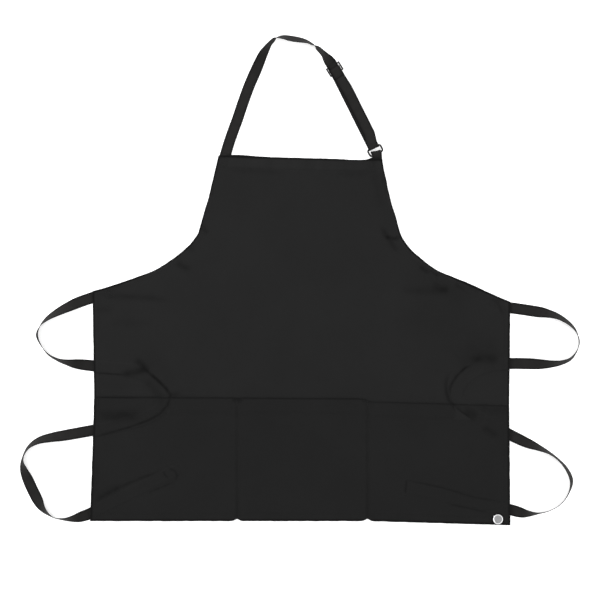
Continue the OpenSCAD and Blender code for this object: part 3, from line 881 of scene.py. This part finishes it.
def stitches(name, rows, node_name, length=2.3, pitch=3.1, body="apron"):
    """Separate lock stitches along rows of (path, height function)"""
    verts, faces = [], []
    ring = [(cos(a), sin(a)) for a in circle(STITCH_SIDES)]
    for path, height in rows:
        path = np.asarray(path, float)
        total = np.linalg.norm(np.diff(path, axis=0), axis=1).sum()
        if total < pitch:
            continue
        centres = resample(path, pitch)
        centres = (centres[:-1] + centres[1:]) / 2
        head = tangents(centres) if len(centres) > 1 else np.array([path[-1] - path[0]]) / total
        z = height(centres[:, 0], centres[:, 1])
        for c, h, zz in zip(centres, head, z):
            hx, hy = h[0] - STITCH_SKEW * h[1], h[1] + STITCH_SKEW * h[0]
            faces += [tuple(len(verts) + i for i in face) for face in STITCH_FACES]
            for a, r in STITCH:
                drop = -0.16 * (abs(a) * 2) ** 3
                for cs, sn in ring:
                    verts.append((c[0] + a * length * hx - cs * r * STITCH_WIDTH / 2 * hy,
                                  c[1] + a * length * hy + cs * r * STITCH_WIDTH / 2 * hx,
                                  zz + 0.1 + drop + sn * r * STITCH_WIDTH * 0.36))
    obj = piece(name, verts, faces, THREAD, body)
    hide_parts(node_name)


def clip(path, test):
    """The stretches of a path where test holds"""
    path = resample(path, 1.0)
    good = np.concatenate([[False], test(*path.T), [False]])
    change = np.flatnonzero(good[1:] != good[:-1])
    return [path[a:b] for a, b in zip(change[::2], change[1::2]) if b - a > 4]


def rows_along(paths, d, test, height):
    """Rows of stitches at distance d inside paths, where test holds"""
    return [(q, height) for path in paths for q in clip(inward(path, d), test)]


# The box of stitches at each strap's root: its centre and turn
ROOT_BOXES = [((-132, 200), 73), ((130.5, 195), 90), ((-325, -22), 14), ((328, -39.5), -18)]


def clear_of_roots(x, y):
    return np.min([np.hypot(x - at[0], y - at[1]) for at, turn in ROOT_BOXES], axis=0) > 9.5


def on_top_hem(x, y):
    return clear_of_roots(x, y) & inside(outline, np.column_stack([x, y]))


def on_armholes(x, y):
    return (y < 185) & (abs(x) < 345) & clear_of_roots(x, y)


def on_body_sides(x, y):
    return (y < -48) & (y > np.where(x < 0, -197, -212))


def on_pocket_sides(x, y):
    return (y < np.where(x < 0, -201, -216)) & (y > -408)


def on_bottom(x, y):
    from_badge = np.hypot(x - BADGE_AT[0], y - BADGE_AT[1])
    return (divider_distance(x) > 4) & (from_badge > 10) & (x > -346) & (x < 345)


def on_mouth(x, y):
    return (divider_distance(x) > 4) & (abs(x) < 340)


rows = [row for d in (3, 20) for row in rows_along([TOP], d, on_top_hem, body_top)]
stitches("top_hem_stitches", rows, "top_hem_stitching")
rows = rows_along([LEFT_ARMHOLE, RIGHT_ARMHOLE], 6.5, on_armholes, body_top)
stitches("armhole_stitches", rows, "armhole_stitching")
rows = rows_along([LEFT_SIDE, RIGHT_SIDE], 9, on_body_sides, body_top)
rows += rows_along([LEFT_SIDE, RIGHT_SIDE], 9, on_pocket_sides, pocket_top)
stitches("side_stitches", rows, "side_stitching")
stitches("bottom_stitches", rows_along([BOTTOM], 12, on_bottom, pocket_top), "bottom_stitching")
rows = [row for d in (2.5, MOUTH_HEM) for row in rows_along([MOUTH], d, on_mouth, pocket_top)]
stitches("pocket_mouth_stitches", rows, "pocket_mouth_stitching")
rows = [
    (np.array([(x + side, -408.0), (x + side, -209.0)]), pocket_top)
    for x in DIVIDERS
    for side in (-2.5, 2.5)
]
stitches("divider_stitches", rows, "divider_stitching")
rows = [
    (np.array([(x + side, y - 4.5 + 0.75 * i) for side in (-1.3, 1.3)]), pocket_top)
    for x, y in ((-345, -207), (-108, -208), (114, -209), (349, -222))
    for i in range(13)
]
stitches("pocket_bartack_stitches", rows, "pocket_bartacks", length=2.5, pitch=2.5)
rows = []
box = [(-6.6, -6.6), (6.6, -6.6), (6.6, 6.6), (-6.6, 6.6)]
box_lines = [(box[i], box[(i + 1) % 4]) for i in range(4)] + [(box[0], box[2]), (box[1], box[3])]
for (x, y), turn in ROOT_BOXES:
    c, s = cos(radians(turn)), sin(radians(turn))
    for line in box_lines:
        line = np.array([(x + c * px - s * py, y + s * px + c * py) for px, py in line])
        rows.append((line, body_top))
stitches("root_stitches", rows, "root_stitching", length=2.0, pitch=2.6)


# ---------- neck loop ----------

# The straight run of the strap from the ring up to the slider: its lean, its foot at the ring's
# upper bar, and its directions along and across
RUN_TILT = radians(26.6)
RUN_FOOT = np.array([124.5, 226.0, 0.0])
RUN_UP = np.array([-sin(RUN_TILT), cos(RUN_TILT), 0.0])
RUN_RIGHT = np.array([cos(RUN_TILT), sin(RUN_TILT), 0.0])
RUN_Z, LOOP_Z = 1.3, 2.6  # undersides of the strap on its way down to the ring and back
SLIDER_AT, SKEW, SHIFT = 149.0, radians(5), 0.4  # the slider's place, turn and offset
LOOP_LEN, CENTRE_Z = 16.0, 4.4  # the sewn loop on the slider, and the height of its centre bar
RING_Z, RING_GAP = 3.95, 12.0  # height of the ring's bars, and the distance between them
WRAP_R, FOLD_R = 2.15, 1.65  # middle of the strap from the bar that it turns round, and its inside
Z = np.array([0, 0, 1.0])


def on_run(s, left=0.0, z=0.0):
    """A place s up the run, left of its middle and z above the floor"""
    return RUN_FOOT + s * RUN_UP - left * RUN_RIGHT + z * Z


# From the bib's left corner to the run: x, y, roll in degrees and lift
NECK_ROUTE = [
    (-126.9, 217.4, 0, 0.6), (-121.6, 235, 0, 0.4), (-115, 254, 0, 0.1), (-108, 273, 0, 0),
    (-101, 294, 0, 0), (-94, 314, 0, 0), (-86, 335, 0, 0), (-77, 355, 12, 0),
    (-68, 375, 32, 0), (-63.6, 384, 42, 0), (-58, 393, 58, 0), (-52, 401.6, 74, 0),
    (-45, 408.6, 82, 0), (-38, 412, 107, 0), (-29, 412.8, 120, 0), (-19, 411.2, 128, 0),
    (-6, 409, 128, 0), (6, 406.6, 121, 0), (14, 403.8, 112, 0), (22, 399.2, 104, 0),
    (29, 394, 77, 0), (35, 388.6, 71, 0), (41, 382.4, 61, 0), (47, 375.4, 34, 0.4),
    (53, 367.6, 0, 1.3),
]
points, across = laid(NECK_ROUTE)
start = np.array([(-132.4, 198.6, 0.5), (-130.2, 206.0, 0.55), (-128.4, 212.2, 0.8)])
run = np.array([on_run(s, z=RUN_Z + 0.5) for s in np.linspace(143, 1, 40)])
turn = np.linspace(-pi / 2, -1.5 * pi, 13)
wrap = np.array([on_run(WRAP_R * cos(a), z=RING_Z + WRAP_R * sin(a)) for a in turn])
points = np.vstack([start, points, run, wrap])
across = np.vstack([[(-0.96, 0.281, 0)] * 3, across, [RUN_RIGHT] * (len(run) + len(wrap))])
neck_strap = ribbon("neck_strap_webbing", points, across, STRAP_WIDTH, 1.0)
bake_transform(neck_strap)
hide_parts("neck_strap", "neck_strap_ring_fold")

# The way back from the ring to the slider
stops = [
    (0.2, 0, RING_Z + FOLD_R), (8, 0, RING_Z + FOLD_R), (16, -1.8, RING_Z),
    (24, -3.8, LOOP_Z + 0.4), (32, -4, LOOP_Z), (70, -4, LOOP_Z), (108, -4, LOOP_Z),
]
for d in (LOOP_LEN + 12, LOOP_LEN + 0.1):
    stops.append((SLIDER_AT - d * cos(SKEW), -d * sin(SKEW) - SHIFT, LOOP_Z))
points = smooth([on_run(s, left, z + 0.5) for s, left, z in stops], 7)
across = [RUN_RIGHT] * len(points)
back = ribbon("neck_strap_return_webbing", points, across, STRAP_WIDTH, 0.95, "neck_loop")
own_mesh(back)
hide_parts("neck_strap_return")


ROOT_LOW, ROOT_MID, ROOT_HIGH, ROOT_TURN = 0.45, 1.03, 1.61, 0.58  # its heights and turning radius


def folded_root(name, near_end, far_end, top_end):
    """The sewn end of a strap, folded double behind the hem: in from near_end below, round at
    far_end and back to top_end above"""
    a, b, c = (np.array(p, float) for p in (near_end, far_end, top_end))
    length = np.linalg.norm(b - a)
    head = (b - a) / length
    turn = b - 0.6 * head
    line = [(*(a + head * t), ROOT_LOW) for t in np.linspace(0, length - 0.6, 6)]
    line += [(*(turn + head * ROOT_TURN * sin(t)), ROOT_MID - ROOT_TURN * cos(t))
             for t in np.linspace(0.4, pi - 0.4, 6)]
    line += [(*(turn + (c - b) * t), ROOT_HIGH) for t in np.linspace(0, 1, 8)]
    side = (-head[1], head[0], 0)
    obj = ribbon(name + "_webbing", line, [side] * len(line), 18.8, 0.76, "apron")
    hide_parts(name)


folded_root("neck_strap_root", (-133.0, 196.6), (-134.4, 191.8), (-128.0, 213.7))
folded_root("tie_root_left", (-336.4, -24.2), (-316, -19), (-347.4, -27.0))
folded_root("tie_root_right", (339, -43), (317, -36), (349.6, -46.4))

# The tab that holds the ring: up from behind the hem, loosely round the ring's lower bar and
# back. Each point has x, y, z and the share of the run's lean at which the tab lies across.
LOOSE = 2.8 * RUN_UP
bar = on_run(-RING_GAP)
tab = [(130.5, 189, 0.5, 0), (130.5, 198, 0.5, 0), (130.5, 204, 0.5, 0), (130.5, 208, 0.7, 0.25),
       (130.2, 212, 1.4, 0.7)]
for a in np.linspace(-pi / 2, pi / 2, 13):
    away = max(cos(a), 0)
    x, y = (bar + WRAP_R * cos(a) * RUN_UP + away * LOOSE)[:2]
    tab.append((x, y, RING_Z + WRAP_R * sin(a), 1 - 0.66 * away))
tab += [(130.2, 212.4, 5.2, 0.75), (130.4, 209.4, 3.0, 0.35), (130.5, 206.6, 1.7, 0.1),
        (130.5, 203, 1.5, 0), (130.5, 196, 1.5, 0), (130.5, 188, 1.5, 0)]
tab = smooth(tab, 3)
tilt = tab[:, 3] * RUN_TILT
across = np.column_stack([np.cos(tilt), np.sin(tilt), 0 * tilt])
ring_tab = ribbon("ring_tab_webbing", tab[:, :3], across, 17, 0.92)
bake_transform(ring_tab)
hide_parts("ring_tab", "ring_tab_loop")


# ---------- ring and slider ----------

RING_CORNER, RING_BAR = 3.5, 1.5  # radius of the ring's rounded corners and of its bar
centre = on_run(-RING_GAP / 2, z=RING_Z)
line = []
for cx, cy, a0 in ((8.5, 2.5, 0), (-8.5, 2.5, 90), (-8.5, -2.5, 180), (8.5, -2.5, 270)):
    for a in np.radians(np.linspace(a0, a0 + 90, 12)):
        x, y = cx + RING_CORNER * cos(a), cy + RING_CORNER * sin(a)
        line.append(centre + x * RUN_RIGHT + y * RUN_UP)
line = np.array(line)
head = np.roll(line, -1, axis=0) - np.roll(line, 1, axis=0)
side = np.cross(head / np.linalg.norm(head, axis=1, keepdims=True), Z)
k, n = 20, len(line)
verts = [p + RING_BAR * (cos(a) * v + sin(a) * Z)
         for p, v in zip(line, side) for a in circle(k)]
faces = [(i * k + j, i * k + (j + 1) % k, (i + 1) % n * k + (j + 1) % k, (i + 1) % n * k + j)
         for i in range(n) for j in range(k)]
ring = piece("ring_plastic", verts, faces, PLASTIC, "neck_loop")
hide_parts("ring")

SLIDE_UP = np.array([-sin(RUN_TILT + SKEW), cos(RUN_TILT + SKEW), 0])
SLIDE_RIGHT = np.array([cos(RUN_TILT + SKEW), sin(RUN_TILT + SKEW), 0])
slide_at = on_run(SLIDER_AT) + SHIFT * SLIDE_RIGHT


def in_slider(x, y, z):
    """A place in the slider's own frame"""
    return slide_at + x * SLIDE_RIGHT + y * SLIDE_UP + z * Z


def soft_box(lo, hi, radius):
    """A box with rounded edges, as points and faces"""
    bm = bmesh.new()
    bmesh.ops.create_cube(bm, size=1)
    for v in bm.verts:
        v.co = Vector([l + (h - l) * (c + 0.5) for l, h, c in zip(lo, hi, v.co)])
    bmesh.ops.bevel(bm, geom=list(bm.edges), offset=radius, segments=4, profile=0.5, affect="EDGES")
    bm.verts.index_update()
    verts = [tuple(v.co) for v in bm.verts]
    faces = [tuple(v.index for v in f.verts) for f in bm.faces]
    bm.free()
    return verts, faces


# Two side bars, two low outer bars under the strap, and the round centre bar above them
verts, faces = [], []
parts = [
    soft_box((-13, -8, 0.05), (-11, 8, 5.4), 0.55), soft_box((11, -8, 0.05), (13, 8, 5.4), 0.55),
    soft_box((-12.6, -8, 0.05), (12.6, -6, 1.0), 0.42),
    soft_box((-12.6, 6, 0.05), (12.6, 8, 1.0), 0.42),
]
rod = [(x, 0.7 * cos(a), CENTRE_Z + 0.7 * sin(a))
       for x in (-11.6, 11.6) for a in circle(20)]
parts.append((rod, swept_faces(2, 20)))
for v, f in parts:
    faces += [tuple(i + len(verts) for i in face) for face in f]
    verts += [tuple(in_slider(*p)) for p in v]
slider = piece("slider_plastic", verts, faces, PLASTIC, "slider")
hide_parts("slider")

# The strap's end: up to the centre bar, round it, and back down onto itself
line = [(s, LOOP_Z + 0.5) for s in np.linspace(-LOOP_LEN, -1, 8)]
for a in np.linspace(-pi / 2, pi / 2, 12):
    line.append((1.3 * cos(a), CENTRE_Z + 1.3 * sin(a)))
line += [(-2, 5.7), (-4, 5.6), (-6, 5.2), (-8.4, 4.55), (-10.8, 4.1), (-13, 4.05), (-15.7, 4.05)]
points = [in_slider(0, s, z) for s, z in line]
across = [SLIDE_RIGHT] * len(points)
loop = ribbon("slider_strap_loop_webbing", points, across, STRAP_WIDTH, 0.92, "slider")
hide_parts("slider_strap_loop")
rows = [np.array([in_slider(x, s - LOOP_LEN, 0)[:2] for x in (-8, 8)]) for s in (1.8, 3.8)]
rows = [(row, lambda x, y: np.full(len(x), 4.5)) for row in rows]
stitches("slider_loop_stitches", rows, "slider_stitching", body="slider")


# ---------- badge ----------

# A metal cap with a raised rim and a slightly domed face: radius and height above its seat
CAP = [(8.2, 0), (8.45, 0.25), (8.5, 0.7), (8.3, 1.15), (7.9, 1.35), (7.4, 1.3), (7.1, 1.05),
       (6.8, 0.95), (5.0, 1.05), (2.5, 1.14), (0.4, 1.17)]
CAP_SIDES, FACE_R = 64, 6.2
seat = float(pocket_top(*np.array([BADGE_AT]).T)[0]) - 0.25
verts = [(BADGE_AT[0] + r * cos(a), BADGE_AT[1] + r * sin(a), seat + z)
         for r, z in CAP for a in circle(CAP_SIDES)]
badge = piece("badge_cap", verts, swept_faces(len(CAP), CAP_SIDES), BADGE, "apron")
badge.data.materials.append(BADGE_FACE)
for face in badge.data.polygons:
    from_centre = dist(face.center[:2], [v * MM for v in BADGE_AT])
    face.material_index = int(from_centre < FACE_R * MM)
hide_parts("badge_front")
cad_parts["badge_back"].data.materials.clear()
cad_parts["badge_back"].data.materials.append(BADGE)


# ---------- floor and light ----------

FLOOR_Z = -0.0004
corners = [(x, y, FLOOR_Z) for x, y in ((-3, -3), (3, -3), (3, 3), (-3, 3))]
mesh = bpy.data.meshes.new("floor")
mesh.from_pydata(corners, [], [(0, 1, 2, 3)])
mesh.materials.append(FLOOR)
floor = linked("floor", mesh)

world = bpy.data.worlds.new("studio")
world.use_nodes = True
background = world.node_tree.nodes["Background"].inputs
background["Color"].default_value = (1, 1, 1, 1)
background["Strength"].default_value = 1.12
bpy.context.scene.world = world


def area_light(name, place, size, power):
    """A square light that faces the middle of the apron"""
    data = bpy.data.lights.new(name, "AREA")
    data.size = size
    data.energy = power
    obj = linked(name, data)
    obj.location = place
    obj.rotation_euler = (-Vector(place)).to_track_quat("-Z", "Y").to_euler()


area_light("key", (-1.7, 1.2, 1.25), 0.7, 44)
area_light("fill", (1.9, -0.5, 1.5), 1.0, 16)
bpy.context.scene.view_settings.view_transform = "Standard"
